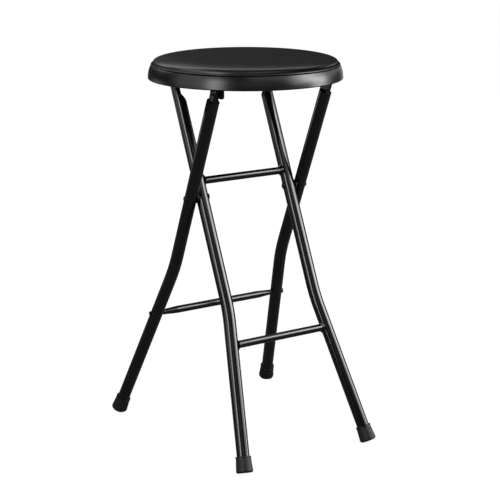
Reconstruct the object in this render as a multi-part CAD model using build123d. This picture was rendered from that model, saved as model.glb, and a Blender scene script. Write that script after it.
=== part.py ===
from build123d import *
import os
from math import cos, radians, sin, sqrt, tan

# Padded folding stool with two crossed tube frames and a round upholstered seat.
# Millimetres, +Z up. X runs along the crossbars, the inner frame's feet point to -Y (the front).
# Everything is drawn about the scissor pivot's axis and then moved, so that the origin lies
# on the floor in the middle of the four feet.

# Heights above the floor; the seat lies on the catch rod, and its own heights follow from that
PIVOT_HEIGHT = 394.7
HINGE_HEIGHT = 570.0
CATCH_ROD_HEIGHT = 580.4

# Tubes and bars
TUBE_DIAMETER = 19.8
TUBE_WALL = 1.2
BEND_RADIUS = 270.0
BAR_DIAMETER = 12.0
BAR_WALL = 1.0

# Inner frame, whose tops carry the catch rod and whose feet stand in front
INNER_TILT = 24.45
INNER_BEND_DROP = 183.9
INNER_SPLAY = 8.35
UPPER_BAR_RISE = 26.1
LOWER_BAR_DROP = 53.7
PRESSED_THICKNESS = 9.0
PRESSED_LENGTH = 38.0
PRESSED_RAMP = 13.6
CATCH_ROD_DIAMETER = 9.0
ROD_TENON_DIAMETER = 7.0

# Outer frame, whose tops are hinged to the seat and whose feet stand behind
OUTER_HALF_WIDTH = 103.3
OUTER_TILT = 23.13
OUTER_BEND_DROP = 135.2
OUTER_SPLAY = 9.27
OUTER_BAR_DROP = 90.9
SWAGED_DIAMETER = 8.4
SWAGE_LENGTH = 26.0
FLARED_RIM_DIAMETER = 10.5
FLARED_RIM_HEIGHT = 0.8
TONGUE_REACH = 15.2
TONGUE_THICKNESS = 10.0
TONGUE_WIDTH = 14.0
TONGUE_EDGE = 1.6
SPIGOT_LENGTH = 24.0
STAKE_LENGTH = 19.0
STAKE_DEPTH = 2.9
STAKE_COUNT = 4
STAKE_PITCH = 3.6
STAKE_GROOVE = 0.5

# Rubber feet
FOOT_HEIGHT = 25.0
FOOT_TOP_DIAMETER = 23.4
FOOT_BOTTOM_DIAMETER = 26.8
FOOT_SOLE = 6.0
FOOT_EDGE = 3.0
FOOT_LIP = 0.5
FOOT_LIP_HEIGHT = 2.2
FOOT_FLAT = 1.4
FLUTE_COUNT = 12
FLUTE_RADIUS = 1.7
FLUTE_DEPTH = 0.6
FLUTE_MARGIN = 1.5

# Rivets, washers and screws
RIVET_DIAMETER = 7.0
RIVET_HEAD_DIAMETER = 10.4
RIVET_HEAD_HEIGHT = 1.5
HINGE_RIVET_DIAMETER = 6.0
HINGE_HEAD_DIAMETER = 10.5
HINGE_HEAD_HEIGHT = 1.8
HEAD_RIM_SHARE = 0.3
WASHER_DIAMETER = 16.0
WASHER_THICKNESS = 1.1
SCREW_DIAMETER = 4.0
SCREW_HEAD_DIAMETER = 8.0
SCREW_HEAD_HEIGHT = 2.4
SCREW_BITE = 3.0
WELD_LEG = 2.2

# Seat pan, a pressed steel dish with a flared skirt and a rolled hem
SEAT_DIAMETER = 305.2
SEAT_SETBACK = 2.1
PAN_GAUGE = 1.0
SKIRT_CURVE = 44.0
SKIRT_FLARE = 24.8
ROLL_RADIUS = 1.8
HEM_RADIUS = 1.6
HEM_TURN = 175.0
DECK_DROP = 4.5
DECK_CORNER = 2.5

# Upholstery
CUSHION_RISE = 14.0
BOARD_THICKNESS = 4.0
COVER_GAUGE = 0.9
SHOULDER_RISE = 2.6
WELT_DIAMETER = 2.6
WELT_STAND = 0.3
CROWN_SHARE = 0.9
SHOULDER_SHARE = 1.0
SHOULDER_DROP = 0.4

# Brackets under the seat
EAR_GAUGE = 2.5
EAR_HALF_WIDTH = 13.0
EAR_DROP = 10.0
EAR_CORNER = 5.0
EAR_FLANGE = 24.0
CATCH_GAUGE = 3.0
CATCH_SPACING = 120.0
CATCH_FLANGE = 22.0
CATCH_FRONT = 13.0
CATCH_REAR = 15.0
CATCH_TIP_DROP = 8.5
CATCH_MOUTH_TURN = 59.0
BRACKET_BEND = 1.2
SCREW_PITCH = 14.0

# Fits
RUNNING_FIT = 0.05
SEATED_GAP = 0.05
CLEAR_GAP = 0.3
DECK_CLEARANCE = 1.2
SCREW_HOLE_GAP = 0.2

TUBE_RADIUS = TUBE_DIAMETER / 2
BORE_RADIUS = TUBE_RADIUS - TUBE_WALL
INNER_HALF_WIDTH = OUTER_HALF_WIDTH - TUBE_DIAMETER - WASHER_THICKNESS - CLEAR_GAP
SEAT_RADIUS = SEAT_DIAMETER / 2

# The seat's heights work out from the catch rod, and its pan's section from its widest circle
FLARE_COS = cos(radians(SKIRT_FLARE))
FLARE_SIN = sin(radians(SKIRT_FLARE))
RECESS_RADIUS = SEAT_RADIUS - ROLL_RADIUS * (1 + FLARE_COS) - SKIRT_CURVE * (1 - FLARE_COS)
DECK_UNDERSIDE = CATCH_ROD_HEIGHT + TUBE_RADIUS + DECK_CLEARANCE
DECK_TOP = DECK_UNDERSIDE + PAN_GAUGE
PAN_TOP = DECK_TOP + DECK_DROP
ROLL_HEIGHT = PAN_TOP - ROLL_RADIUS
SEAT_TOP = PAN_TOP + CUSHION_RISE
COVER_RADIUS = RECESS_RADIUS - CLEAR_GAP
COVER_BASE = DECK_TOP + DECK_CORNER
BOARD_RADIUS = RECESS_RADIUS - DECK_CORNER - CLEAR_GAP
SHOULDER_HEIGHT = PAN_TOP + SHOULDER_RISE

# Where the frames reach the seat, measured from the pivot along each frame
ROD_REACH = (CATCH_ROD_HEIGHT - PIVOT_HEIGHT) / cos(radians(INNER_TILT))
HINGE_REACH = (HINGE_HEIGHT - PIVOT_HEIGHT) / cos(radians(OUTER_TILT))
OUTER_TUBE_END = HINGE_REACH - TONGUE_REACH
ROD_Y = ROD_REACH * sin(radians(INNER_TILT))
HINGE_Y = -HINGE_REACH * sin(radians(OUTER_TILT))
EAR_OUTER_X = OUTER_HALF_WIDTH - TONGUE_THICKNESS / 2 - CLEAR_GAP
EAR_INNER_X = EAR_OUTER_X - EAR_GAUGE
CATCH_OUTER_X = CATCH_SPACING / 2 + CATCH_GAUGE / 2
CATCH_INNER_X = CATCH_OUTER_X - CATCH_GAUGE
PRESSED_FACE_X = INNER_HALF_WIDTH + TUBE_RADIUS - PRESSED_THICKNESS

SEAT_CENTRE = Location((0, SEAT_SETBACK, 0))
MIRROR_PLANE = Plane.YZ


def frame_plane(tilt):
    """Plane of one tube frame: its X is the stool's X, its Y runs up along the frame."""
    lean = radians(tilt)
    return Plane(origin=(0, 0, PIVOT_HEIGHT), x_dir=(1, 0, 0), z_dir=(0, -cos(lean), sin(lean)))


INNER_PLANE = frame_plane(INNER_TILT)
OUTER_PLANE = frame_plane(-OUTER_TILT)


def foot_drop(tilt, splay):
    """Height of a foot's bottom centre when its low edge is flattened on the floor."""
    lean_cos = cos(radians(tilt)) * cos(radians(splay))
    lean_sin = sqrt(1 - lean_cos ** 2)
    rim = FOOT_BOTTOM_DIAMETER / 2 - FOOT_EDGE
    return rim * lean_sin + FOOT_EDGE * (1 - lean_cos) - FOOT_FLAT


def leg_route(half_width, tilt, bend_drop, splay):
    """Bend point, foot point and lower run's direction of a right leg, in its frame's plane."""
    bend = Vector(half_width, -bend_drop)
    heading = Vector(sin(radians(splay)), -cos(radians(splay)))
    foot_y = (foot_drop(tilt, splay) - PIVOT_HEIGHT) / cos(radians(tilt))
    run = (foot_y + bend_drop) / heading.Y
    return bend, bend + heading * run, heading


def swept_leg(top, route, radius):
    """Round bar along a right leg's centre line, down to the inside of its foot."""
    bend, foot, heading = route
    end = foot - heading * FOOT_SOLE
    start = Vector(bend.X, top)
    path = FilletPolyline(start, bend, end, radius=BEND_RADIUS)
    section = Plane(origin=start, z_dir=(0, -1, 0)) * Circle(radius)
    return sweep(section, path=path)


def across(radius, start_x, end_x, y):
    """Round bar along the frame's X, at a distance up its plane."""
    length = end_x - start_x
    place = Plane(origin=(start_x, y, 0), z_dir=(1, 0, 0))
    return place * Cylinder(radius, length, align=(Align.CENTER, Align.CENTER, Align.MIN))


def lathe(points, y):
    """Turned piece about the frame's X, from points (distance along X, radius)."""
    outline = make_face(Polyline([(x, y + r) for x, r in points], close=True))
    return revolve(outline, axis=Axis((0, y, 0), (1, 0, 0)))


def domed_head(diameter, height, face_x, y, outward):
    """Low domed rivet head on a face square to X, that points along X by outward."""
    radius = diameter / 2
    rim = height * HEAD_RIM_SHARE
    dome = TangentArc((0, height), (radius, rim), tangent=(1, 0))
    sides = Polyline((radius, rim), (radius, 0), (0, 0), (0, height))
    section = make_face(Wire([*dome.edges(), *sides.edges()]))
    head = revolve(Plane.XZ * section, axis=Axis.Z)
    return Plane(origin=(face_x, y, 0), z_dir=(outward, 0, 0)) * head


INNER_ROUTE = leg_route(INNER_HALF_WIDTH, INNER_TILT, INNER_BEND_DROP, INNER_SPLAY)
OUTER_ROUTE = leg_route(OUTER_HALF_WIDTH, OUTER_TILT, OUTER_BEND_DROP, OUTER_SPLAY)


def point_below_bend(route, drop):
    """Point of a right leg's lower run, at a distance below its bend."""
    bend, _, heading = route
    return bend + heading * drop


LOWER_BAR_AT = point_below_bend(INNER_ROUTE, LOWER_BAR_DROP)
OUTER_BAR_AT = point_below_bend(OUTER_ROUTE, OUTER_BAR_DROP)


def press_tool(shift):
    """Wedge that flattens the inner side of an inner leg's top, moved outwards by shift."""
    face_x = PRESSED_FACE_X + shift
    open_x = INNER_HALF_WIDTH - TUBE_DIAMETER
    ramp_top = ROD_REACH - PRESSED_LENGTH
    slope = (PRESSED_FACE_X - (INNER_HALF_WIDTH - TUBE_RADIUS)) / PRESSED_RAMP
    ramp_low = ramp_top - (face_x - open_x) / slope
    top = ROD_REACH + TUBE_DIAMETER
    outline = Polyline((open_x, ramp_low), (face_x, ramp_top), (face_x, top), (open_x, top), close=True)
    return extrude(make_face(outline), amount=TUBE_DIAMETER, both=True)


def top_trim():
    """What is sheared off to leave an inner leg's top rounded about the catch rod."""
    block = Pos(INNER_HALF_WIDTH, ROD_REACH + TUBE_DIAMETER, 0) * Box(
        2 * TUBE_DIAMETER, 2 * TUBE_DIAMETER, 2 * TUBE_DIAMETER
    )
    keep = across(TUBE_RADIUS, INNER_HALF_WIDTH - TUBE_DIAMETER, INNER_HALF_WIDTH + TUBE_DIAMETER, ROD_REACH)
    return block - keep


def inner_leg():
    """Right leg of the inner frame: bent tube with a pressed, rounded top."""
    top = ROD_REACH + TUBE_RADIUS
    skin = swept_leg(top, INNER_ROUTE, TUBE_RADIUS) - press_tool(0)
    bore = swept_leg(top, INNER_ROUTE, BORE_RADIUS) - press_tool(TUBE_WALL)
    reach = (INNER_HALF_WIDTH - TUBE_DIAMETER, INNER_HALF_WIDTH + TUBE_DIAMETER)
    leg = skin - bore - top_trim()
    leg -= across(RIVET_DIAMETER / 2 + RUNNING_FIT, *reach, 0)
    leg -= across(ROD_TENON_DIAMETER / 2 + SEATED_GAP, *reach, ROD_REACH)
    return leg


def stake_tool(inset):
    """Wedge that flattens the outer side of an outer leg's top, moved inwards by inset."""
    face = OUTER_HALF_WIDTH + TUBE_RADIUS - inset
    clear = face + TUBE_DIAMETER
    low = OUTER_TUBE_END - STAKE_LENGTH
    top = OUTER_TUBE_END + STAKE_LENGTH
    outline = Polyline((face, low), (clear, low), (clear, top), (face - 2 * STAKE_DEPTH, top), close=True)
    return extrude(make_face(outline), amount=TUBE_DIAMETER, both=True)


def stake_grooves():
    """Chisel marks across an outer leg's flattened top, that hold its hinge tongue."""
    grooves = []
    for mark in range(1, STAKE_COUNT + 1):
        y = OUTER_TUBE_END - mark * STAKE_PITCH
        sunk = STAKE_DEPTH * (1 - mark * STAKE_PITCH / STAKE_LENGTH)
        x = OUTER_HALF_WIDTH + TUBE_RADIUS - sunk
        rim = (x + STAKE_GROOVE, 2 * STAKE_GROOVE)
        notch = Polyline((x - STAKE_GROOVE, y), (rim[0], y + rim[1]), (rim[0], y - rim[1]), close=True)
        grooves.append(extrude(make_face(notch), amount=TUBE_RADIUS, both=True))
    return grooves


def outer_leg():
    """Right leg of the outer frame: bent tube, open at the top for its hinge tongue."""
    bore = swept_leg(OUTER_TUBE_END, OUTER_ROUTE, BORE_RADIUS) - stake_tool(TUBE_WALL)
    leg = swept_leg(OUTER_TUBE_END, OUTER_ROUTE, TUBE_RADIUS) - stake_tool(0) - bore
    reach = (OUTER_HALF_WIDTH - TUBE_DIAMETER, OUTER_HALF_WIDTH + TUBE_DIAMETER)
    leg -= across(RIVET_DIAMETER / 2 + SEATED_GAP, *reach, 0)
    bar_reach = (OUTER_BAR_AT.X - TUBE_DIAMETER, OUTER_BAR_AT.X + TUBE_DIAMETER)
    leg -= across(SWAGED_DIAMETER / 2 + SEATED_GAP, *bar_reach, OUTER_BAR_AT.Y)
    return leg - stake_grooves()


def hinge_tongue():
    """Steel plug in an outer leg's top, with a flat rounded tongue that takes the hinge rivet."""
    spigot_place = Plane(origin=(OUTER_HALF_WIDTH, OUTER_TUBE_END, 0), z_dir=(0, -1, 0))
    spigot = spigot_place * Cylinder(
        BORE_RADIUS - SEATED_GAP, SPIGOT_LENGTH, align=(Align.CENTER, Align.CENTER, Align.MIN)
    )
    half = TONGUE_WIDTH / 2
    low = OUTER_TUBE_END - TONGUE_EDGE
    side = Plane(origin=(OUTER_HALF_WIDTH, 0, 0), x_dir=(0, 1, 0), z_dir=(1, 0, 0))
    edge = Polyline((HINGE_REACH, -half), (low, -half), (low, half), (HINGE_REACH, half))
    nose = ThreePointArc((HINGE_REACH, half), (HINGE_REACH + half, 0), (HINGE_REACH, -half))
    flat = side * make_face(Wire([*edge.edges(), *nose.edges()]))
    blade = extrude(flat, amount=TONGUE_THICKNESS / 2, both=True)
    blade = chamfer(blade.faces().filter_by(Axis.X).edges(), TONGUE_EDGE)
    hole = across(
        HINGE_RIVET_DIAMETER / 2 + RUNNING_FIT,
        OUTER_HALF_WIDTH - TONGUE_THICKNESS,
        OUTER_HALF_WIDTH + TONGUE_THICKNESS,
        HINGE_REACH,
    )
    return spigot - stake_tool(TUBE_WALL + SEATED_GAP) + blade - hole


def foot_flutes(bottom, top, lip_low):
    """Grooves moulded round a foot's side, from above its rounded edge to below its lip."""
    low = FOOT_EDGE + FLUTE_MARGIN
    high = lip_low - FLUTE_MARGIN
    taper = (bottom - top) / lip_low
    middle = (low + high) / 2
    reach = bottom - taper * middle + FLUTE_RADIUS - FLUTE_DEPTH
    lean = Vector(-taper, 0, 1)
    groove = Plane(origin=(reach, 0, middle), z_dir=lean) * Cylinder(FLUTE_RADIUS, high - low)
    return [Rot(0, 0, 360 * turn / FLUTE_COUNT) * groove for turn in range(FLUTE_COUNT)]


def foot(route, tilt):
    """Rubber foot of a right leg, moulded square to the leg and worn flat where it meets the floor."""
    top = FOOT_TOP_DIAMETER / 2
    bottom = FOOT_BOTTOM_DIAMETER / 2
    socket = TUBE_RADIUS + SEATED_GAP
    lip_low = FOOT_HEIGHT - FOOT_LIP_HEIGHT
    outline = Polyline(
        (0, 0), (bottom, 0), (top, lip_low), (top + FOOT_LIP, lip_low), (top + FOOT_LIP, FOOT_HEIGHT),
        (socket, FOOT_HEIGHT), (socket, FOOT_SOLE), (0, FOOT_SOLE), close=True,
    )
    section = make_face(Plane.XZ * outline)
    cup = revolve(section, axis=Axis.Z)
    rim = cup.edges().filter_by(GeomType.CIRCLE).group_by(Axis.Z)[0]
    cup = fillet(rim, FOOT_EDGE) - foot_flutes(bottom, top, lip_low)
    _, centre, heading = route
    stood = frame_plane(tilt) * (Plane(origin=centre, x_dir=(0, 0, 1), z_dir=heading * -1) * cup)
    floor_size = 2 * PIVOT_HEIGHT
    below = Box(floor_size, floor_size, FOOT_HEIGHT, align=(Align.CENTER, Align.CENTER, Align.MAX))
    return stood - below


def welded_bar(at, leg):
    """Crossbar tube of the inner frame, coped to the legs and flared where the weld runs."""
    radius = BAR_DIAMETER / 2
    bore = radius - BAR_WALL
    weld_x = at.X - TUBE_RADIUS - WELD_LEG
    flare_x = at.X - BORE_RADIUS
    flare = radius + flare_x - weld_x
    right = [(weld_x, radius), (flare_x, flare), (flare_x, bore)]
    left = [(-x, r) for x, r in reversed(right)]
    bar = lathe(left + right, at.Y)
    return bar - leg - mirror(leg, about=MIRROR_PLANE)


def swaged_bar():
    """Crossbar tube of the outer frame, drawn down at its ends and flared over outside the legs."""
    at = OUTER_BAR_AT
    full = BAR_DIAMETER / 2
    thin = SWAGED_DIAMETER / 2
    lean = radians(OUTER_SPLAY)
    rim = FLARED_RIM_DIAMETER / 2
    outside = at.X + TUBE_RADIUS / cos(lean) + rim * tan(lean)
    shoulder = at.X - TUBE_RADIUS / cos(lean) - rim * tan(lean)
    drawn = shoulder - SWAGE_LENGTH
    tip = outside + FLARED_RIM_HEIGHT
    flare = rim - FLARED_RIM_HEIGHT / 2
    skin = [(drawn, full), (shoulder, thin), (outside, thin), (outside, flare), (tip, rim)]
    bore = [(tip, rim), (outside, thin), (shoulder, thin), (drawn, full)]
    bore = [(x, r - BAR_WALL) for x, r in bore]
    left_skin = [(-x, r) for x, r in reversed(skin)]
    left_bore = [(-x, r) for x, r in reversed(bore)]
    return lathe(left_skin + skin + bore + left_bore, at.Y)


def catch_rod():
    """Rod across the inner frame's tops, shouldered on the pressed faces and headed outside."""
    shoulder = PRESSED_FACE_X
    outside = INNER_HALF_WIDTH + TUBE_RADIUS
    rod = across(CATCH_ROD_DIAMETER / 2, -shoulder, shoulder, ROD_REACH)
    rod += across(ROD_TENON_DIAMETER / 2, -outside, outside, ROD_REACH)
    for side in (-1, 1):
        rod += domed_head(RIVET_HEAD_DIAMETER, RIVET_HEAD_HEIGHT, side * outside, ROD_REACH, side)
    return rod


def pivot_rivet():
    """Scissor pivot of the right legs, headed on both sides."""
    outside = OUTER_HALF_WIDTH + TUBE_RADIUS
    inside = INNER_HALF_WIDTH - TUBE_RADIUS - CLEAR_GAP
    rivet = across(RIVET_DIAMETER / 2, inside, outside, 0)
    rivet += domed_head(RIVET_HEAD_DIAMETER, RIVET_HEAD_HEIGHT, outside, 0, 1)
    return rivet + domed_head(RIVET_HEAD_DIAMETER, RIVET_HEAD_HEIGHT, inside, 0, -1)


def pivot_washer():
    """Nylon washer that keeps the right legs apart at the pivot."""
    outer_side = OUTER_HALF_WIDTH - TUBE_RADIUS
    inner_side = outer_side - WASHER_THICKNESS
    disc = across(WASHER_DIAMETER / 2, inner_side, outer_side, 0)
    return disc - across(RIVET_DIAMETER / 2 + RUNNING_FIT, inner_side, outer_side, 0)


def hinge_rivet():
    """Rivet that joins a hinge bracket's ear to the right leg's tongue."""
    outside = OUTER_HALF_WIDTH + TONGUE_THICKNESS / 2 + CLEAR_GAP
    rivet = across(HINGE_RIVET_DIAMETER / 2, EAR_INNER_X, outside, HINGE_REACH)
    rivet += domed_head(HINGE_HEAD_DIAMETER, HINGE_HEAD_HEIGHT, outside, HINGE_REACH, 1)
    return rivet + domed_head(HINGE_HEAD_DIAMETER, HINGE_HEAD_HEIGHT, EAR_INNER_X, HINGE_REACH, -1)


def turned_about_seat(face):
    """Round seat piece from a section drawn in radius and height."""
    return SEAT_CENTRE * revolve(Plane.XZ * face, axis=Axis.Z)


def pan_section():
    """Wall of the seat pan: deck, recess wall, rolled edge, flared skirt and hem."""
    deck = Line((0, DECK_TOP), (RECESS_RADIUS - DECK_CORNER, DECK_TOP))
    corner = JernArc(deck @ 1, deck % 1, DECK_CORNER, 90)
    wall = Line(corner @ 1, (RECESS_RADIUS, ROLL_HEIGHT))
    roll = JernArc(wall @ 1, wall % 1, ROLL_RADIUS, SKIRT_FLARE - 180)
    skirt = JernArc(roll @ 1, roll % 1, SKIRT_CURVE, -SKIRT_FLARE)
    hem = JernArc(skirt @ 1, skirt % 1, HEM_RADIUS, -HEM_TURN)
    skin = Wire([deck.edge(), corner.edge(), wall.edge(), roll.edge(), skirt.edge(), hem.edge()])
    return make_face(skin.offset_2d(PAN_GAUGE, side=Side.RIGHT, closed=True))


def cushion_section(inset, base):
    """Half section of the crowned cushion, drawn in by inset and cut off at the height base."""
    radius = COVER_RADIUS - inset
    top = SEAT_TOP - inset
    crown = Bezier(
        (0, top),
        (CROWN_SHARE * radius, top),
        (SHOULDER_SHARE * radius, top - SHOULDER_DROP),
        (radius, SHOULDER_HEIGHT),
    )
    sides = Polyline((radius, SHOULDER_HEIGHT), (radius, base), (0, base), (0, top))
    return make_face(Wire([*crown.edges(), *sides.edges()]))


def seat_cover():
    """Vinyl cover, crowned over the foam and tucked into the pan's recess."""
    outside = turned_about_seat(cushion_section(0, COVER_BASE))
    return outside - turned_about_seat(cushion_section(COVER_GAUGE, COVER_BASE))


def welt_ring():
    """Welt that runs round the cushion on the pan's rolled edge."""
    radius = WELT_DIAMETER / 2
    cord = Pos(COVER_RADIUS + WELT_STAND + radius, PAN_TOP + radius + SEATED_GAP) * Circle(radius)
    return turned_about_seat(cord)


def bent_strip(inner_x, outer_x, flange, low, front, rear):
    """Angle strip under the pan's deck: an upright between two X values and a flange towards the middle."""
    gauge = outer_x - inner_x
    tip = outer_x - flange
    under = DECK_UNDERSIDE - gauge
    outline = Polyline(
        (tip, DECK_UNDERSIDE), (outer_x, DECK_UNDERSIDE), (outer_x, low), (inner_x, low), (inner_x, under),
        (tip, under), close=True,
    )
    section = make_face(outline)
    outer_corner = section.vertices().sort_by_distance((outer_x, DECK_UNDERSIDE, 0))[0]
    section = fillet(outer_corner, BRACKET_BEND + gauge)
    inner_corner = section.vertices().sort_by_distance((inner_x, under, 0))[0]
    section = fillet(inner_corner, BRACKET_BEND)
    place = Plane(origin=(0, front, 0), x_dir=(1, 0, 0), z_dir=(0, -1, 0))
    return extrude(place * section, amount=front - rear)


def screw_places(outer_x, flange, gauge, middle_y):
    """Centres of the two screws in a right bracket's flange."""
    x = (outer_x - flange + outer_x - gauge) / 2
    return [(x, middle_y - SCREW_PITCH / 2), (x, middle_y + SCREW_PITCH / 2)]


CATCH_MIDDLE_Y = ROD_Y + (CATCH_REAR - CATCH_FRONT) / 2
HINGE_SCREWS = screw_places(EAR_OUTER_X, EAR_FLANGE, EAR_GAUGE, HINGE_Y)
CATCH_SCREWS = screw_places(CATCH_OUTER_X, CATCH_FLANGE, CATCH_GAUGE, CATCH_MIDDLE_Y)


def both_sides(places):
    """Places on the right, with their mirror images on the left."""
    return places + [(-x, y) for x, y in places]


def upright(radius, low, high, place):
    """Round bar along Z between two heights."""
    return Pos(*place, low) * Cylinder(radius, high - low, align=(Align.CENTER, Align.CENTER, Align.MIN))


def drilled(piece, radius, low, high, places):
    """A piece with upright holes between two heights, one at each place."""
    for place in places:
        piece -= upright(radius, low, high, place)
    return piece


def hinge_bracket():
    """Right bracket of the seat hinge: a flange screwed under the pan and an ear beside the tongue."""
    front = HINGE_Y - EAR_HALF_WIDTH
    rear = HINGE_Y + EAR_HALF_WIDTH
    low = HINGE_HEIGHT - EAR_DROP
    strip = bent_strip(EAR_INNER_X, EAR_OUTER_X, EAR_FLANGE, low, front, rear)
    corners = strip.edges().filter_by(Axis.X).group_by(Axis.Z)[0]
    strip = fillet(corners, EAR_CORNER)
    bore = HINGE_RIVET_DIAMETER / 2 + SEATED_GAP
    strip -= OUTER_PLANE * across(bore, EAR_INNER_X, EAR_OUTER_X, HINGE_REACH)
    return drilled(strip, SCREW_DIAMETER / 2 + SCREW_HOLE_GAP, low, DECK_UNDERSIDE, HINGE_SCREWS)


def catch_bracket():
    """Right catch of the seat: a hook that drops over the catch rod and opens forwards and down."""
    low = CATCH_ROD_HEIGHT - CATCH_TIP_DROP
    strip = bent_strip(
        CATCH_INNER_X, CATCH_OUTER_X, CATCH_FLANGE, low, ROD_Y - CATCH_FRONT, ROD_Y + CATCH_REAR
    )
    mouth = CATCH_ROD_DIAMETER / 2 + CLEAR_GAP
    turn = radians(CATCH_MOUTH_TURN)
    far = CATCH_FRONT + CATCH_REAR
    side = Plane(origin=(CATCH_INNER_X, ROD_Y, CATCH_ROD_HEIGHT), x_dir=(0, 1, 0), z_dir=(1, 0, 0))
    along = Pos(-far / 2 * cos(turn), -far / 2 * sin(turn)) * Rot(0, 0, CATCH_MOUTH_TURN)
    slot = along * Rectangle(far, 2 * mouth)
    nose = make_face(
        Polyline((-CATCH_FRONT, 0), (-CATCH_FRONT, -far), (mouth, -far), (0, -CATCH_TIP_DROP), close=True)
    )
    strip -= extrude(side * (Circle(mouth) + slot + nose), amount=CATCH_GAUGE)
    return drilled(strip, SCREW_DIAMETER / 2 + SCREW_HOLE_GAP, low, DECK_UNDERSIDE, CATCH_SCREWS)


ALL_SCREWS = both_sides(HINGE_SCREWS) + both_sides(CATCH_SCREWS)


def seat_pan():
    """Pressed steel pan, with holes for the bracket screws."""
    pan = turned_about_seat(pan_section())
    return drilled(pan, SCREW_DIAMETER / 2 + SCREW_HOLE_GAP, DECK_UNDERSIDE, DECK_TOP, ALL_SCREWS)


def seat_board():
    """Hardboard disc that the foam lies on and the screws bite into."""
    disc = upright(BOARD_RADIUS, DECK_TOP, DECK_TOP + BOARD_THICKNESS, (0, SEAT_SETBACK))
    return drilled(disc, SCREW_DIAMETER / 2 + SEATED_GAP, DECK_TOP, DECK_TOP + SCREW_BITE, ALL_SCREWS)


def foam_pad():
    """Foam between the board and the cover."""
    return turned_about_seat(cushion_section(COVER_GAUGE + SEATED_GAP, DECK_TOP + BOARD_THICKNESS))


def bracket_screws():
    """Pan-head screws that hold the brackets, the pan and the board together."""
    screws = []
    for gauge, places in ((EAR_GAUGE, both_sides(HINGE_SCREWS)), (CATCH_GAUGE, both_sides(CATCH_SCREWS))):
        seat = DECK_UNDERSIDE - gauge
        for place in places:
            head = upright(SCREW_HEAD_DIAMETER / 2, seat - SCREW_HEAD_HEIGHT, seat, place)
            rim = head.edges().filter_by(GeomType.CIRCLE).group_by(Axis.Z)[0]
            shank = upright(SCREW_DIAMETER / 2, seat, DECK_TOP + SCREW_BITE, place)
            screws += (fillet(rim, SCREW_HEAD_HEIGHT / 2) + shank).solids()
    return Compound(screws)


def pair(name, right):
    """A right piece and its mirror image, as two nodes."""
    return {f"{name}_right": right, f"{name}_left": mirror(right, about=MIRROR_PLANE)}


inner_right = inner_leg()
inner_skin = swept_leg(ROD_REACH, INNER_ROUTE, TUBE_RADIUS)

nodes = {}
nodes.update(pair("inner_leg", INNER_PLANE * inner_right))
nodes["upper_crossbar"] = INNER_PLANE * welded_bar(Vector(INNER_HALF_WIDTH, UPPER_BAR_RISE), inner_skin)
nodes["lower_crossbar"] = INNER_PLANE * welded_bar(LOWER_BAR_AT, inner_skin)
nodes["catch_rod"] = INNER_PLANE * catch_rod()
nodes.update(pair("inner_foot", foot(INNER_ROUTE, INNER_TILT)))
nodes.update(pair("outer_leg", OUTER_PLANE * outer_leg()))
nodes["outer_crossbar"] = OUTER_PLANE * swaged_bar()
nodes.update(pair("hinge_tongue", OUTER_PLANE * hinge_tongue()))
nodes.update(pair("outer_foot", foot(OUTER_ROUTE, -OUTER_TILT)))
nodes.update(pair("pivot_rivet", OUTER_PLANE * pivot_rivet()))
nodes.update(pair("pivot_washer", OUTER_PLANE * pivot_washer()))
nodes["seat_pan"] = seat_pan()
nodes["seat_board"] = seat_board()
nodes["foam_pad"] = foam_pad()
nodes["seat_cover"] = seat_cover()
nodes["welt_ring"] = welt_ring()
nodes.update(pair("hinge_bracket", hinge_bracket()))
nodes.update(pair("hinge_rivet", OUTER_PLANE * hinge_rivet()))
nodes.update(pair("catch_bracket", catch_bracket()))
nodes["bracket_screws"] = bracket_screws()

# The origin: on the floor, in the middle of the stance
stance_front = nodes["inner_foot_right"].bounding_box().min.Y
stance_rear = nodes["outer_foot_right"].bounding_box().max.Y
to_origin = Pos(0, -(stance_front + stance_rear) / 2, 0)

os.makedirs("parts", exist_ok=True)
for name, shape in nodes.items():
    export_step(to_origin * shape, f"parts/{name}.step")

shift = to_origin.position.Y
print(f"leg pivot: y {shift:.3f}, z {PIVOT_HEIGHT:.3f}")
print(f"seat hinge: y {HINGE_Y + shift:.3f}, z {HINGE_HEIGHT:.3f}")
print(f"catch rod: y {ROD_Y + shift:.3f}, z {CATCH_ROD_HEIGHT:.3f}")
print(f"seat centre: y {SEAT_SETBACK + shift:.3f}, pan top z {PAN_TOP:.3f}")
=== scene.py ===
from math import pi, radians

import bpy
from mathutils import Euler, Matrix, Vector


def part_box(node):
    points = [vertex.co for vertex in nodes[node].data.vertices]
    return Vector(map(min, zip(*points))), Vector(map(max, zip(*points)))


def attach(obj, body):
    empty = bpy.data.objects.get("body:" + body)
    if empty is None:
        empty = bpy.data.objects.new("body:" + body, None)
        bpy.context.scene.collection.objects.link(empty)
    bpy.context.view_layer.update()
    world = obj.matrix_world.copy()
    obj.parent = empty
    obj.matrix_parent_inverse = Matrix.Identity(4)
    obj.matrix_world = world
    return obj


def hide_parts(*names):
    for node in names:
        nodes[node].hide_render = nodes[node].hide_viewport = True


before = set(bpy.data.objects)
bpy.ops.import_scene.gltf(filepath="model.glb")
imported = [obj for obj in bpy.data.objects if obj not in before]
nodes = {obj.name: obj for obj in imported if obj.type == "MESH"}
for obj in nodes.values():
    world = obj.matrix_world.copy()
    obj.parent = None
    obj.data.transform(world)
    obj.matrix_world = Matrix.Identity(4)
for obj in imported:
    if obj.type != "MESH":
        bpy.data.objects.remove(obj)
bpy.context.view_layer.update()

# Padded folding stool: two crossed frames of black tube under a round vinyl cushion in a pressed pan.
# Metres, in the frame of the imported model. X runs along the crossbars, -Y is the front.

MM = 0.001

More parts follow.
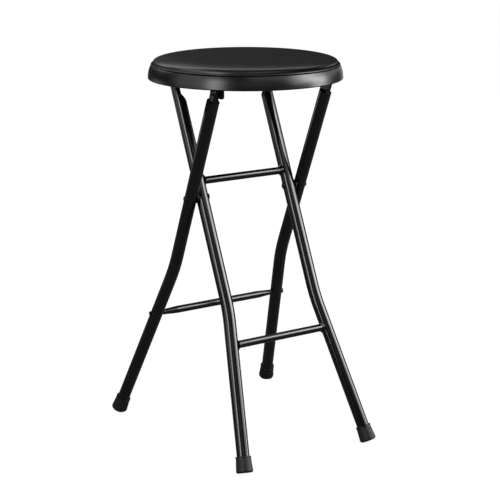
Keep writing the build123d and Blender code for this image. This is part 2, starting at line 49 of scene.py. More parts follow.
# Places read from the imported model
COVER_LOW, COVER_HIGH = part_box("seat_cover")
WELT_LOW, WELT_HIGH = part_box("welt_ring")
SEAT_CENTRE = (COVER_LOW + COVER_HIGH) / 2
COVER_RADIUS = (COVER_HIGH.x - COVER_LOW.x) / 2
COVER_TOP = COVER_HIGH.z
COVER_BASE = COVER_LOW.z
PAN_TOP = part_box("seat_pan")[1].z
WELT_THICKNESS = WELT_HIGH.z - WELT_LOW.z
WELT_RING_RADIUS = (WELT_HIGH.x - WELT_LOW.x - WELT_THICKNESS) / 2

# Cushion
SHOULDER_HEIGHT = PAN_TOP + 2.6 * MM
CROWN_SHARE = 0.9
SHOULDER_SHARE = 1.0
SHOULDER_DROP = 0.4 * MM
CROWN_RINGS = 20
CUSHION_SEGMENTS = 96
SLACK = 1.2 * MM
SWELL_CAP = 1.2 * MM
SWELL_PRESSURE = 4.0
SWELL_FRAMES = 20
COVER_WEIGHT = 20.0
COVER_STIFFNESS = 5.0
CLOTH_QUALITY = 6
SEWN_MARGIN = 0.1 * MM

# Welt
WELT_SEGMENTS = 192
WELT_SIDES = 14
WELT_TUCK = 0.25 * MM
WELT_UNDERSIDE = 0.4
WELT_JOINT_PINCH = 0.8
WELT_JOINT_REACH = 3.0 * MM

# Bracket screws
SCREW_HEAD_RADIUS = 4.0 * MM
SCREW_HEAD_HEIGHT = 2.4 * MM
SCREW_RADIUS = 2.0 * MM
SCREW_LENGTH = 8.0 * MM
SCREW_PITCH = 14.0 * MM
CROSS_LENGTH = 4.6 * MM
CROSS_WIDTH = 1.1 * MM
CROSS_DEPTH = 1.4 * MM
HINGE_GAUGE = 2.5 * MM
CATCH_GAUGE = 3.0 * MM
HEAD_SEGMENTS = 32
HEAD_ROUNDING = 0.6 * SCREW_HEAD_HEIGHT
HEAD_ROUNDING_STEPS = 4
SMOOTH_ANGLE = 35.0
FACES_UP = 0.9

# Black paints: worn places are lighter by these factors, and very slightly blue
WORN_GREY = 3.0
WORN_BLUE = 3.1
HAZE_SHARE = 0.4
PEEL_STRENGTH = 0.1
PEEL_DEPTH = 0.01 * MM

# Vinyl
VINYL_DARK = (0.0112, 0.0112, 0.0113)
VINYL_LIGHT = (0.0142, 0.0142, 0.0143)
VINYL_GRAIN_DEPTH = 0.04 * MM

# Rubber of the feet, with dust from the floor
RUBBER_BLACK = (0.005, 0.005, 0.0051)
DUST_GREY = (0.026, 0.025, 0.024)
DUST_HEIGHT = 6 * MM
RUBBER_GRAIN_DEPTH = 0.05 * MM

# Screw steel, washer nylon and the hardboard with its turned-under rim
STEEL_DARK = (0.42, 0.42, 0.43)
STEEL_LIGHT = (0.56, 0.56, 0.55)
STEEL_MARK_DEPTH = 0.02 * MM
NYLON_DARK = (0.006, 0.006, 0.006)
NYLON_LIGHT = (0.01, 0.01, 0.01)
NYLON_GRAIN_DEPTH = 0.03 * MM
FIBRE_DARK = (0.16, 0.088, 0.045)
FIBRE_LIGHT = (0.26, 0.16, 0.09)
FIBRE_DEPTH = 0.1 * MM
RIM_BLACK = (0.006, 0.006, 0.006)
TURN_UNDER = 18.0 * MM

# Camera, fitted to the photograph
CAMERA_PLACE = Vector((-1.181183, -1.820423, 0.869769))
CAMERA_YAW = -33.055
CAMERA_PITCH = -14.746
CAMERA_LENS = 100.366
CAMERA_SENSOR = 36.0


# Modelling helpers

def clear_selection():
    """Nothing selected, in object mode."""
    if bpy.context.object and bpy.context.object.mode != "OBJECT":
        bpy.ops.object.mode_set(mode="OBJECT")
    bpy.ops.object.select_all(action="DESELECT")


def new_piece(name):
    """The primitive that was just added, named as a piece."""
    piece = bpy.context.object
    piece.name = name
    piece.data.name = name
    return piece


def settle(piece):
    """Puts a piece's place into its mesh, so that its object sits at the origin."""
    clear_selection()
    piece.select_set(True)
    bpy.context.view_layer.objects.active = piece
    bpy.ops.object.transform_apply(location=True, rotation=True, scale=True)


def select_faces(piece, wanted):
    """In edit mode, selects the faces for which wanted(face) holds."""
    bpy.ops.mesh.select_all(action="DESELECT")
    bpy.ops.object.mode_set(mode="OBJECT")
    for face in piece.data.polygons:
        face.select = wanted(face)
    bpy.ops.object.mode_set(mode="EDIT")


def select_points(piece, wanted):
    """In edit mode, selects the vertices whose place makes wanted(place) hold."""
    bpy.ops.mesh.select_mode(type="VERT")
    bpy.ops.mesh.select_all(action="DESELECT")
    bpy.ops.object.mode_set(mode="OBJECT")
    for point in piece.data.vertices:
        point.select = wanted(point.co)
    bpy.ops.object.mode_set(mode="EDIT")


def apply_modifier(piece, modifier):
    """Applies one modifier of a piece."""
    bpy.context.view_layer.objects.active = piece
    bpy.ops.object.modifier_apply(modifier=modifier.name)


# Shader helpers

def add_node(tree, kind, **values):
    """A node with its properties set, and its inputs set where a name matches one."""
    node = tree.nodes.new(kind)
    for key, value in values.items():
        name = key.replace("_", " ").title()
        if name in node.inputs:
            node.inputs[name].default_value = value
        else:
            setattr(node, key, value)
    return node


def new_group(name, inputs, outputs):
    """A shader node group with float inputs, given with their values, beside a vector input."""
    group = bpy.data.node_groups.new(name, "ShaderNodeTree")
    group.interface.new_socket("Vector", in_out="INPUT", socket_type="NodeSocketVector")
    for label, value in inputs.items():
        socket = group.interface.new_socket(label, in_out="INPUT", socket_type="NodeSocketFloat")
        socket.default_value = value
    for label in outputs:
        group.interface.new_socket(label, in_out="OUTPUT", socket_type="NodeSocketFloat")
    return group, group.nodes.new("NodeGroupInput"), group.nodes.new("NodeGroupOutput")


def sprayed_coat_group():
    """Ripple of a sprayed coat, and the slow haze that handling leaves on it."""
    scales = {"Ripple Scale": 900.0, "Haze Scale": 24.0}
    group, given, made = new_group("sprayed_coat", scales, ("Ripple", "Haze"))
    ripple = add_node(group, "ShaderNodeTexNoise", detail=2.0, roughness=0.5)
    haze = add_node(group, "ShaderNodeTexNoise", detail=5.0, roughness=0.6)
    spread = add_node(group, "ShaderNodeMapRange", from_min=0.32, from_max=0.7)
    group.links.new(given.outputs["Vector"], ripple.inputs["Vector"])
    group.links.new(given.outputs["Ripple Scale"], ripple.inputs["Scale"])
    group.links.new(given.outputs["Vector"], haze.inputs["Vector"])
    group.links.new(given.outputs["Haze Scale"], haze.inputs["Scale"])
    group.links.new(haze.outputs["Fac"], spread.inputs["Value"])
    group.links.new(ripple.outputs["Fac"], made.inputs["Ripple"])
    group.links.new(spread.outputs["Result"], made.inputs["Haze"])
    return group


def rub_marks_group():
    """Sparse short rub marks that run along one direction."""
    group, given, made = new_group("rub_marks", {"Scale": 220.0, "Amount": 0.5}, ("Mark",))
    stretch = add_node(group, "ShaderNodeMapping", vector_type="POINT")
    stretch.inputs["Scale"].default_value = (1.0, 1.0, 0.07)
    streak = add_node(group, "ShaderNodeTexNoise", detail=3.0, roughness=0.7)
    patch = add_node(group, "ShaderNodeTexNoise", scale=9.0, detail=2.0)
    streak_mask = add_node(group, "ShaderNodeMapRange", from_min=0.62, from_max=0.72)
    patch_mask = add_node(group, "ShaderNodeMapRange", from_min=0.52, from_max=0.68)
    both = add_node(group, "ShaderNodeMath", operation="MULTIPLY")
    scaled = add_node(group, "ShaderNodeMath", operation="MULTIPLY")
    group.links.new(given.outputs["Vector"], stretch.inputs["Vector"])
    group.links.new(stretch.outputs["Vector"], streak.inputs["Vector"])
    group.links.new(given.outputs["Scale"], streak.inputs["Scale"])
    group.links.new(given.outputs["Vector"], patch.inputs["Vector"])
    group.links.new(streak.outputs["Fac"], streak_mask.inputs["Value"])
    group.links.new(patch.outputs["Fac"], patch_mask.inputs["Value"])
    group.links.new(streak_mask.outputs["Result"], both.inputs[0])
    group.links.new(patch_mask.outputs["Result"], both.inputs[1])
    group.links.new(both.outputs["Value"], scaled.inputs[0])
    group.links.new(given.outputs["Amount"], scaled.inputs[1])
    group.links.new(scaled.outputs["Value"], made.inputs["Mark"])
    return group


def grain_group():
    """Pebbled grain of moulded or embossed soft goods: rounded pebbles with creases between them."""
    group, given, made = new_group("grain", {"Scale": 900.0, "Waver": 0.35}, ("Height", "Crease"))
    waver = add_node(group, "ShaderNodeTexNoise", scale=160.0, detail=3.0)
    push = add_node(group, "ShaderNodeVectorMath", operation="SCALE")
    shifted = add_node(group, "ShaderNodeVectorMath", operation="ADD")
    reach = add_node(group, "ShaderNodeMath", operation="DIVIDE")
    pebbles = add_node(group, "ShaderNodeTexVoronoi", feature="SMOOTH_F1", smoothness=0.6)
    height = add_node(group, "ShaderNodeMapRange", from_min=0.1, from_max=0.75, to_min=1.0, to_max=0.0)
    crease = add_node(group, "ShaderNodeMapRange", from_min=0.5, from_max=0.8)
    group.links.new(given.outputs["Vector"], waver.inputs["Vector"])
    group.links.new(given.outputs["Waver"], reach.inputs[0])
    group.links.new(given.outputs["Scale"], reach.inputs[1])
    group.links.new(waver.outputs["Color"], push.inputs[0])
    group.links.new(reach.outputs["Value"], push.inputs["Scale"])
    group.links.new(given.outputs["Vector"], shifted.inputs[0])
    group.links.new(push.outputs["Vector"], shifted.inputs[1])
    group.links.new(shifted.outputs["Vector"], pebbles.inputs["Vector"])
    group.links.new(given.outputs["Scale"], pebbles.inputs["Scale"])
    group.links.new(pebbles.outputs["Distance"], height.inputs["Value"])
    group.links.new(pebbles.outputs["Distance"], crease.inputs["Value"])
    group.links.new(height.outputs["Result"], made.inputs["Height"])
    group.links.new(crease.outputs["Result"], made.inputs["Crease"])
    return group


SPRAYED_COAT = sprayed_coat_group()
RUB_MARKS = rub_marks_group()
GRAIN = grain_group()


class Finish:
    """A material under construction: its tree, its shader and its object coordinates."""

    def __init__(self, name, specular, metallic=0.0):
        self.material = bpy.data.materials.new(name)
        self.material.use_nodes = True
        self.tree = self.material.node_tree
        self.shader = self.tree.nodes["Principled BSDF"]
        self.shader.inputs["Specular IOR Level"].default_value = specular
        self.shader.inputs["Metallic"].default_value = metallic
        self.place = self.tree.nodes.new("ShaderNodeTexCoord").outputs["Object"]

    def add(self, kind, **values):
        """A node in this material."""
        return add_node(self.tree, kind, **values)

    def link(self, source, target):
        """Joins an output to an input."""
        self.tree.links.new(source, target)

    def group(self, group, **values):
        """A shared effect placed in this material with its own values."""
        node = self.tree.nodes.new("ShaderNodeGroup")
        node.node_tree = group
        self.link(self.place, node.inputs["Vector"])
        for key, value in values.items():
            node.inputs[key.replace("_", " ").title()].default_value = value
        return node

    def blend(self, factor, low, high):
        """Colour between two greys or colours."""
        mix = self.tree.nodes.new("ShaderNodeMix")
        mix.data_type = "RGBA"
        mix.inputs["A"].default_value = (*low, 1.0)
        mix.inputs["B"].default_value = (*high, 1.0)
        self.link(factor, mix.inputs["Factor"])
        return mix.outputs["Result"]

    def spread(self, factor, low, high):
        """Value between two limits."""
        span = self.add("ShaderNodeMapRange", to_min=low, to_max=high)
        self.link(factor, span.inputs["Value"])
        return span.outputs["Result"]

    def raised(self, height, strength, depth):
        """Bump from a height, on the shader's normal."""
        bump = self.add("ShaderNodeBump", strength=strength, distance=depth)
        self.link(height, bump.inputs["Height"])
        self.link(bump.outputs["Normal"], self.shader.inputs["Normal"])

    def colour(self, output):
        """Base colour of the shader."""
        self.link(output, self.shader.inputs["Base Color"])

    def rough(self, output):
        """Roughness of the shader."""
        self.link(output, self.shader.inputs["Roughness"])


def painted(name, specular, grey, gloss, worn_gloss, rub):
    """Black sprayed paint: orange peel, handling haze and a few rub marks."""
    worn_colour = (WORN_GREY * grey, WORN_GREY * grey, WORN_BLUE * grey)
    finish = Finish(name, specular)
    coat = finish.group(SPRAYED_COAT, ripple_scale=700.0, haze_scale=20.0)
    marks = finish.group(RUB_MARKS, scale=260.0, amount=rub)
    worn = finish.add("ShaderNodeMath", operation="MAXIMUM")
    finish.link(finish.spread(coat.outputs["Haze"], 0.0, HAZE_SHARE), worn.inputs[0])
    finish.link(marks.outputs["Mark"], worn.inputs[1])
    finish.colour(finish.blend(worn.outputs["Value"], (grey, grey, grey), worn_colour))
    finish.rough(finish.spread(worn.outputs["Value"], gloss, worn_gloss))
    finish.raised(coat.outputs["Ripple"], PEEL_STRENGTH, PEEL_DEPTH)
    return finish.material


def vinyl_material():
    """Soft black vinyl with a fine pebbled grain."""
    finish = Finish("vinyl", 0.5)
    grain = finish.group(GRAIN, scale=1300.0, waver=0.5)
    coat = finish.group(SPRAYED_COAT, ripple_scale=300.0, haze_scale=12.0)
    finish.colour(finish.blend(coat.outputs["Haze"], VINYL_DARK, VINYL_LIGHT))
    finish.rough(finish.spread(grain.outputs["Crease"], 0.31, 0.39))
    finish.raised(grain.outputs["Height"], 0.25, VINYL_GRAIN_DEPTH)
    return finish.material


def rubber_material():
    """Moulded black rubber, dusty where it meets the floor."""
    finish = Finish("foot_rubber", 0.36)
    grain = finish.group(GRAIN, scale=1500.0, waver=0.8)
    height = finish.add("ShaderNodeSeparateXYZ")
    finish.link(finish.place, height.inputs["Vector"])
    low = finish.add("ShaderNodeMapRange", from_min=0.0, from_max=DUST_HEIGHT, to_min=1.0, to_max=0.0)
    finish.link(height.outputs["Z"], low.inputs["Value"])
    dust = finish.add("ShaderNodeMath", operation="MULTIPLY")
    finish.link(low.outputs["Result"], dust.inputs[0])
    finish.link(grain.outputs["Crease"], dust.inputs[1])
    finish.colour(finish.blend(dust.outputs["Value"], RUBBER_BLACK, DUST_GREY))
    finish.rough(finish.spread(grain.outputs["Crease"], 0.5, 0.7))
    finish.raised(grain.outputs["Height"], 0.3, RUBBER_GRAIN_DEPTH)
    return finish.material


def steel_material():
    """Plated steel with fine turning marks."""
    finish = Finish("screw_steel", 0.5, metallic=1.0)
    coat = finish.group(SPRAYED_COAT, ripple_scale=1600.0, haze_scale=140.0)
    marks = finish.group(RUB_MARKS, scale=900.0, amount=0.6)
    finish.colour(finish.blend(coat.outputs["Haze"], STEEL_DARK, STEEL_LIGHT))
    finish.rough(finish.spread(marks.outputs["Mark"], 0.28, 0.5))
    finish.raised(coat.outputs["Ripple"], 0.2, STEEL_MARK_DEPTH)
    return finish.material


def nylon_material():
    """Black moulded nylon."""
    finish = Finish("washer_nylon", 0.4)
    grain = finish.group(GRAIN, scale=2200.0, waver=0.3)
    finish.colour(finish.blend(grain.outputs["Crease"], NYLON_DARK, NYLON_LIGHT))
    finish.rough(finish.spread(grain.outputs["Crease"], 0.42, 0.55))
    finish.raised(grain.outputs["Height"], 0.2, NYLON_GRAIN_DEPTH)
    return finish.material


def hardboard_material():
    """Pressed brown fibreboard, with black vinyl turned under round its rim."""
    finish = Finish("hardboard", 0.3)
    coat = finish.group(SPRAYED_COAT, ripple_scale=1200.0, haze_scale=90.0)
    fibre = finish.blend(coat.outputs["Haze"], FIBRE_DARK, FIBRE_LIGHT)
    from_middle = finish.add("ShaderNodeVectorMath", operation="MULTIPLY_ADD")
    from_middle.inputs[1].default_value = (1, 1, 0)
    from_middle.inputs[2].default_value = (-SEAT_CENTRE.x, -SEAT_CENTRE.y, 0)
    finish.link(finish.place, from_middle.inputs[0])
    radius = finish.add("ShaderNodeVectorMath", operation="LENGTH")
    finish.link(from_middle.outputs["Vector"], radius.inputs[0])
    turned_edge = COVER_RADIUS - TURN_UNDER
    turned = finish.add("ShaderNodeMapRange", from_min=turned_edge, from_max=turned_edge + MM)
    finish.link(radius.outputs["Value"], turned.inputs["Value"])
    rim = finish.tree.nodes.new("ShaderNodeMix")
    rim.data_type = "RGBA"
    rim.inputs["B"].default_value = (*RIM_BLACK, 1.0)
    finish.link(turned.outputs["Result"], rim.inputs["Factor"])
    finish.link(fibre, rim.inputs["A"])
    finish.colour(rim.outputs["Result"])
    finish.rough(finish.spread(coat.outputs["Ripple"], 0.7, 0.9))
    finish.raised(coat.outputs["Ripple"], 0.5, FIBRE_DEPTH)
    return finish.material


FINISHES = {
    "frame_paint": painted("frame_paint", specular=0.5, grey=0.0022, gloss=0.13, worn_gloss=0.22, rub=0.3),
    "pan_paint": painted("pan_paint", specular=0.48, grey=0.003, gloss=0.275, worn_gloss=0.335, rub=0.15),
    "fitting_paint": painted("fitting_paint", specular=0.3, grey=0.003, gloss=0.28, worn_gloss=0.4, rub=0.4),
    "rivet_paint": painted("rivet_paint", specular=0.35, grey=0.003, gloss=0.3, worn_gloss=0.42, rub=0.4),
    "screw_steel": steel_material(),
    "foot_rubber": rubber_material(),
    "washer_nylon": nylon_material(),
    "hardboard": hardboard_material(),
    "vinyl": vinyl_material(),
}


def dress(piece, slot):
    """Gives a piece one finish."""
    piece.data.materials.clear()
    piece.data.materials.append(FINISHES[slot])


SLOT_PIECES = {
    "frame_paint": ("inner_leg", "outer_leg", "upper_crossbar", "lower_crossbar", "outer_crossbar"),
    "pan_paint": ("seat_pan",),
    "fitting_paint": ("hinge_tongue", "hinge_bracket", "catch_bracket", "catch_rod"),
    "rivet_paint": ("pivot_rivet", "hinge_rivet"),
    "foot_rubber": ("inner_foot", "outer_foot"),
    "washer_nylon": ("pivot_washer",),
    "hardboard": ("seat_board",),
}
for slot, stems in SLOT_PIECES.items():
    for name, node in nodes.items():
        if name.startswith(stems):
            dress(node, slot)


# Cushion

def crown_point(share):
    """(radius, height) on the cushion's crown, from its middle at 0 to its shoulder at 1."""
    rest = 1 - share
    weights = (rest ** 3, 3 * rest ** 2 * share, 3 * rest * share ** 2, share ** 3)
    radii = (0, CROWN_SHARE * COVER_RADIUS, SHOULDER_SHARE * COVER_RADIUS, COVER_RADIUS)
    heights = (COVER_TOP, COVER_TOP, COVER_TOP - SHOULDER_DROP, SHOULDER_HEIGHT)
    return sum(w * r for w, r in zip(weights, radii)), sum(w * h for w, h in zip(weights, heights))


def cushion_form():
    """The stuffed form before it swells: a disc raised ring by ring to a slightly slack crown."""
    clear_selection()
    middle = (SEAT_CENTRE.x, SEAT_CENTRE.y, 0)
    bpy.ops.mesh.primitive_circle_add(
        vertices=CUSHION_SEGMENTS, radius=COVER_RADIUS, fill_type="NGON",
        location=(SEAT_CENTRE.x, SEAT_CENTRE.y, COVER_BASE),
    )
    form = new_piece("cushion")
    settle(form)
    bpy.ops.object.mode_set(mode="EDIT")
    bpy.ops.mesh.select_all(action="SELECT")
    bpy.ops.mesh.select_mode(type="EDGE")
    radius, height = COVER_RADIUS, COVER_BASE
    for ring in range(CROWN_RINGS):
        share = 1 - ring / CROWN_RINGS
        next_radius, next_height = crown_point(share)
        next_height -= SLACK * (1 - (next_radius / COVER_RADIUS) ** 2)
        bpy.ops.mesh.extrude_edges_move(TRANSFORM_OT_translate={"value": (0, 0, next_height - height)})
        grow = next_radius / radius
        bpy.ops.transform.resize(value=(grow, grow, 1), center_override=middle)
        radius, height = next_radius, next_height
    bpy.ops.mesh.edge_face_add()
    bpy.ops.mesh.poke(center_mode="MEDIAN")
    bpy.ops.mesh.select_all(action="SELECT")
    bpy.ops.mesh.normals_make_consistent(inside=False)
    bpy.ops.object.mode_set(mode="OBJECT")
    return form


def hold_edge(form):
    """Vertex group of the points that are sewn in under the welt or lie on the board."""
    sewn = form.vertex_groups.new(name="sewn")
    held = [point.index for point in form.data.vertices if point.co.z < SHOULDER_HEIGHT + SEWN_MARGIN]
    sewn.add(held, 1.0, "REPLACE")
    return sewn


def swell(form):
    """Fills the slack form under pressure, caps the swelling and brings the crown to its height."""
    scene = bpy.context.scene
    slack = [point.co.copy() for point in form.data.vertices]
    filling = form.modifiers.new("filling", "CLOTH")
    filling.settings.vertex_group_mass = hold_edge(form).name
    filling.settings.quality = CLOTH_QUALITY
    filling.settings.mass = COVER_WEIGHT
    filling.settings.bending_stiffness = COVER_STIFFNESS
    filling.settings.use_pressure = True
    filling.settings.uniform_pressure_force = SWELL_PRESSURE
    filling.settings.effector_weights.gravity = 0.0
    filling.point_cache.frame_end = SWELL_FRAMES
    for step in range(1, SWELL_FRAMES + 1):
        scene.frame_set(step)
    apply_modifier(form, filling)
    scene.frame_set(1)
    for point, start in zip(form.data.vertices, slack):
        move = point.co - start
        if move.length > SWELL_CAP:
            point.co = start + move.normalized() * SWELL_CAP
    top = max(point.co.z for point in form.data.vertices)
    stretch = (COVER_TOP - SHOULDER_HEIGHT) / (top - SHOULDER_HEIGHT)
    for point in form.data.vertices:
        if point.co.z > SHOULDER_HEIGHT:
            point.co.z = SHOULDER_HEIGHT + (point.co.z - SHOULDER_HEIGHT) * stretch


def place_on_seat(piece, stands_for, slot):
    """Gives a piece of the seat its finish, its body and the solids that it stands for."""
    dress(piece, slot)
    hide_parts(*stands_for)
    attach(piece, "seat")


cushion = cushion_form()
swell(cushion)
round_over = cushion.modifiers.new("round_over", "SUBSURF")
round_over.levels = 1
round_over.render_levels = 1
apply_modifier(cushion, round_over)
clear_selection()
cushion.select_set(True)
bpy.ops.object.shade_smooth()
place_on_seat(cushion, ("seat_cover", "foam_pad"), "vinyl")


# Welt

def welt_piece():
    """Vinyl welt round the cushion: drawn in against the cover, flat below, butted at the back."""
    clear_selection()
    middle = (WELT_LOW + WELT_HIGH) / 2
    bpy.ops.mesh.primitive_torus_add(
        major_segments=WELT_SEGMENTS, minor_segments=WELT_SIDES, major_radius=WELT_RING_RADIUS,
        minor_radius=WELT_THICKNESS / 2, location=middle,
    )
    welt = new_piece("cushion_welt")
    settle(welt)
    bpy.ops.object.mode_set(mode="EDIT")
    inner = WELT_RING_RADIUS - WELT_THICKNESS / 4
    select_points(welt, lambda place: (place - middle).xy.length < inner)
    draw_in = 1 - WELT_TUCK / WELT_RING_RADIUS
    bpy.ops.transform.resize(value=(draw_in, draw_in, 1), center_override=middle)
    select_points(welt, lambda place: place.z < middle.z)
    bpy.ops.transform.resize(value=(1, 1, WELT_UNDERSIDE), center_override=middle)
    joint = Vector((middle.x, middle.y + WELT_RING_RADIUS, middle.z))
    back = joint.y - WELT_THICKNESS
    select_points(welt, lambda place: place.y > back and abs(place.x - joint.x) < WELT_JOINT_REACH)
    bpy.ops.transform.resize(value=(1, WELT_JOINT_PINCH, WELT_JOINT_PINCH), center_override=joint)
    bpy.ops.object.mode_set(mode="OBJECT")
    bpy.ops.object.shade_smooth()
    return welt


place_on_seat(welt_piece(), ("welt_ring",), "vinyl")


# Bracket screws

def cross_cutter(place, turn):
    """One bar of a screw's cross recess."""
    bpy.ops.mesh.primitive_cube_add(size=1.0, location=place, rotation=(0, 0, turn))
    bar = bpy.context.object
    bar.scale = (CROSS_LENGTH, CROSS_WIDTH, 2 * CROSS_DEPTH)
    return bar


def bracket_screw(place):
    """Pan-head screw seen from below, with a cross recess, its head's seat at place."""
    clear_selection()
    bpy.ops.mesh.primitive_cylinder_add(
        vertices=HEAD_SEGMENTS, radius=SCREW_HEAD_RADIUS, depth=SCREW_HEAD_HEIGHT,
        location=place - Vector((0, 0, SCREW_HEAD_HEIGHT / 2)),
    )
    screw = new_piece("bracket_screw")
    settle(screw)
    bpy.ops.object.mode_set(mode="EDIT")
    bpy.ops.mesh.select_mode(type="FACE")
    select_faces(screw, lambda face: face.normal.z > FACES_UP)
    bpy.ops.mesh.inset(thickness=SCREW_HEAD_RADIUS - SCREW_RADIUS)
    bpy.ops.mesh.extrude_region_move(TRANSFORM_OT_translate={"value": (0, 0, SCREW_LENGTH)})
    mid_head = place.z - SCREW_HEAD_HEIGHT / 2
    select_faces(screw, lambda face: face.normal.z < -FACES_UP and face.center.z < mid_head)
    bpy.ops.mesh.bevel(offset=HEAD_ROUNDING, segments=HEAD_ROUNDING_STEPS, profile=0.5)
    bpy.ops.object.mode_set(mode="OBJECT")
    low = place - Vector((0, 0, SCREW_HEAD_HEIGHT))
    for turn in (pi / 4, 3 * pi / 4):
        cutter = cross_cutter(low, turn)
        recess = screw.modifiers.new("recess", "BOOLEAN")
        recess.object = cutter
        recess.operation = "DIFFERENCE"
        recess.solver = "EXACT"
        apply_modifier(screw, recess)
        bpy.data.objects.remove(cutter)
    return screw


def screw_seats():
    """Points under the bracket flanges where the screw heads sit."""
    seats = []
    for stem, gauge in (("hinge_bracket", HINGE_GAUGE), ("catch_bracket", CATCH_GAUGE)):
        for side, name in ((-1, f"{stem}_left"), (1, f"{stem}_right")):
            low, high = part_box(name)
            x = (low.x + high.x - side * gauge) / 2
            y = (low.y + high.y) / 2
            for step in (-SCREW_PITCH / 2, SCREW_PITCH / 2):
                seats.append(Vector((x, y + step, high.z - gauge)))
    return seats


screws = [bracket_screw(place) for place in screw_seats()]
clear_selection()
for screw in screws:
    screw.select_set(True)
bpy.context.view_layer.objects.active = screws[0]
bpy.ops.object.join()
screw_set = new_piece("bracket_screw_set")
bpy.ops.object.shade_smooth_by_angle(angle=radians(SMOOTH_ANGLE))
place_on_seat(screw_set, ("bracket_screws",), "screw_steel")


# Studio

FLOOR_SIZE = 80.0
FLOOR_DROP = 0.3 * MM
FLOOR_GREY = 0.08
FLOOR_IN_GLOSS = 0.05
FLOOR_WHITE_NEAR = 0.94
FLOOR_FADE_START = 0.4
FLOOR_FADE_END = 2.2
SURROUNDINGS_LIGHT = 0.03
SURROUNDINGS_IN_GLOSS = 0.03
LAMP_AIM = Vector((0, 0, 0.45))

# Soft boxes: azimuth from the front towards +X, elevation, distance, width, height and radiance
SOFT_BOXES = {
    "right_box": (46.0, 32.0, 2.3, 0.85, 1.5, 8.0),
    "right_wide_box": (48.0, 21.0, 2.4, 2.2, 1.3, 3.8),
    "right_side_box": (60.0, 3.9, 2.4, 0.9, 1.13, 8.3),
    "right_fill": (96.0, 18.0, 2.4, 1.5, 0.8, 0.75),
    "left_box": (-68.0, 11.0, 2.3, 0.6, 1.62, 7.4),
    "left_fill": (-97.0, 22.0, 2.4, 2.0, 2.2, 1.1),
    "left_high_box": (-118.0, 50.0, 2.6, 1.8, 0.9, 1.8),
    "left_back_box": (-172.0, 38.0, 2.6, 1.3, 1.1, 0.8),
    "left_rear_box": (-162.0, 26.0, 2.5, 1.4, 0.8, 1.1),
    "left_low_box": (-152.0, -5.0, 2.5, 1.0, 0.35, 1.2),
    "front_panel": (-5.0, 45.0, 2.4, 1.6, 1.2, 1.1),
    "front_low_panel": (-22.0, 17.0, 2.5, 1.4, 1.0, 0.35),
    "back_glow": (170.0, 38.0, 2.6, 1.0, 0.8, 0.5),
    "back_strip": (147.0, 52.0, 2.6, 3.2, 0.5, 2.3),
    "underside_box": (138.0, 1.0, 2.4, 2.0, 0.75, 0.65),
}


def shown_white(tree, in_gloss):
    """1 where the camera looks, straight or through something clear, and in_gloss where a gloss mirrors."""
    path = tree.nodes.new("ShaderNodeLightPath")
    seen = add_node(tree, "ShaderNodeMath", operation="MAXIMUM")
    mirrored = add_node(tree, "ShaderNodeMath", operation="MULTIPLY_ADD")
    mirrored.inputs[1].default_value = in_gloss
    tree.links.new(path.outputs["Is Camera Ray"], seen.inputs[0])
    tree.links.new(path.outputs["Is Transmission Ray"], seen.inputs[1])
    tree.links.new(path.outputs["Is Glossy Ray"], mirrored.inputs[0])
    tree.links.new(seen.outputs["Value"], mirrored.inputs[2])
    return mirrored.outputs["Value"]


def floor_material():
    """Pale floor that shows white, keeps a soft shadow and is clear from below."""
    material = bpy.data.materials.new("pale_floor")
    material.use_nodes = True
    tree = material.node_tree
    tree.nodes.remove(tree.nodes["Principled BSDF"])
    paper = add_node(tree, "ShaderNodeBsdfDiffuse")
    paper.inputs["Color"].default_value = (FLOOR_GREY, FLOOR_GREY, FLOOR_GREY, 1.0)
    glow = add_node(tree, "ShaderNodeEmission")
    share = add_node(tree, "ShaderNodeMath", operation="MULTIPLY")
    place = tree.nodes.new("ShaderNodeTexCoord")
    away = add_node(tree, "ShaderNodeVectorMath", operation="LENGTH")
    fade = add_node(
        tree, "ShaderNodeMapRange",
        from_min=FLOOR_FADE_START, from_max=FLOOR_FADE_END, to_min=FLOOR_WHITE_NEAR, to_max=1.0,
    )
    both = tree.nodes.new("ShaderNodeAddShader")
    side = tree.nodes.new("ShaderNodeNewGeometry")
    clear = tree.nodes.new("ShaderNodeBsdfTransparent")
    two_sided = tree.nodes.new("ShaderNodeMixShader")
    tree.links.new(place.outputs["Object"], away.inputs[0])
    tree.links.new(away.outputs["Value"], fade.inputs["Value"])
    tree.links.new(shown_white(tree, FLOOR_IN_GLOSS), share.inputs[0])
    tree.links.new(fade.outputs["Result"], share.inputs[1])
    tree.links.new(share.outputs["Value"], glow.inputs["Strength"])
    tree.links.new(paper.outputs["BSDF"], both.inputs[0])
    tree.links.new(glow.outputs["Emission"], both.inputs[1])
    tree.links.new(side.outputs["Backfacing"], two_sided.inputs[0])
    tree.links.new(both.outputs["Shader"], two_sided.inputs[1])
    tree.links.new(clear.outputs["BSDF"], two_sided.inputs[2])
    tree.links.new(two_sided.outputs["Shader"], tree.nodes["Material Output"].inputs["Surface"])
    return material


def studio_world():
    """Dim surroundings that show white where the camera looks past the floor."""
    world = bpy.data.worlds.new("studio")
    world.use_nodes = True
    tree = world.node_tree
    level = add_node(tree, "ShaderNodeMath", operation="MAXIMUM")
    level.inputs[1].default_value = SURROUNDINGS_LIGHT
    tree.links.new(shown_white(tree, SURROUNDINGS_IN_GLOSS), level.inputs[0])
    background = tree.nodes["Background"]
    background.inputs["Color"].default_value = (1.0, 1.0, 1.0, 1.0)
    tree.links.new(level.outputs["Value"], background.inputs["Strength"])
    bpy.context.scene.world = world


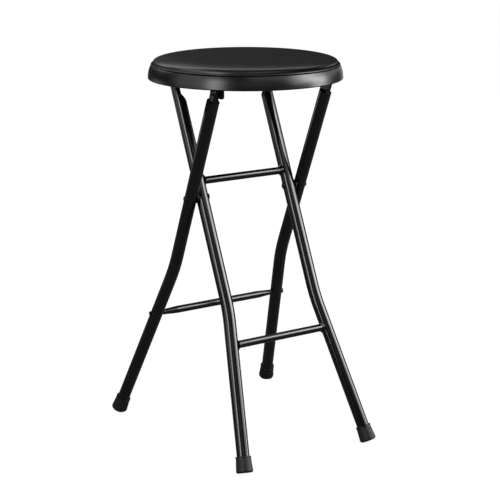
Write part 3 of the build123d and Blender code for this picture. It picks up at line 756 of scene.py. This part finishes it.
def studio_floor():
    """The floor under the feet, which isn't a piece of the stool."""
    clear_selection()
    bpy.ops.mesh.primitive_plane_add(size=FLOOR_SIZE, location=(0, 0, -FLOOR_DROP))
    floor = new_piece("studio_floor")
    floor.data.materials.append(floor_material())


def lit_group(name, pieces, state):
    """Pieces that a lamp lights alone, with state INCLUDE, or leaves out, with state EXCLUDE."""
    group = bpy.data.collections.new(name)
    for piece in pieces:
        group.objects.link(piece)
    for linked in group.collection_objects:
        linked.light_linking.link_state = state
    return group


def soft_box(name, azimuth, elevation, distance, width, height, radiance):
    """Area lamp round the stool, turned to its middle."""
    away = Vector((0, -1, 0))
    away.rotate(Euler((radians(-elevation), 0, 0)))
    away.rotate(Euler((0, 0, radians(azimuth))))
    lamp = bpy.data.lights.new(name, "AREA")
    lamp.shape = "RECTANGLE"
    lamp.size = width
    lamp.size_y = height
    lamp.energy = radiance * pi * width * height
    holder = bpy.data.objects.new(name, lamp)
    bpy.context.scene.collection.objects.link(holder)
    holder.location = LAMP_AIM + away * distance
    holder.rotation_euler = away.to_track_quat("Z", "Y").to_euler()
    holder.light_linking.receiver_collection = LIT_GROUPS.get(name)


studio_floor()

# The large boxes on the right would mirror in the cushion's flat top, so they leave it out.
# The box for the underside lights the seat's steel alone.
off_cushion = lit_group("off_cushion", [cushion], "EXCLUDE")
steel_stems = ("seat_pan", "hinge_bracket", "catch_bracket")
seat_steel = [node for name, node in nodes.items() if name.startswith(steel_stems)]
LIT_GROUPS = {
    "right_box": off_cushion,
    "right_wide_box": off_cushion,
    "right_side_box": off_cushion,
    "underside_box": lit_group("seat_steel", seat_steel + [screw_set], "INCLUDE"),
}
for name, settings in SOFT_BOXES.items():
    soft_box(name, *settings)
studio_world()

camera_data = bpy.data.cameras.new("photo_camera")
camera_data.lens = CAMERA_LENS
camera_data.sensor_width = CAMERA_SENSOR
camera = bpy.data.objects.new("photo_camera", camera_data)
bpy.context.scene.collection.objects.link(camera)
camera.location = CAMERA_PLACE
camera.rotation_euler = (radians(90 + CAMERA_PITCH), 0, radians(CAMERA_YAW))
bpy.context.scene.camera = camera
bpy.context.scene.view_settings.view_transform = "Standard"
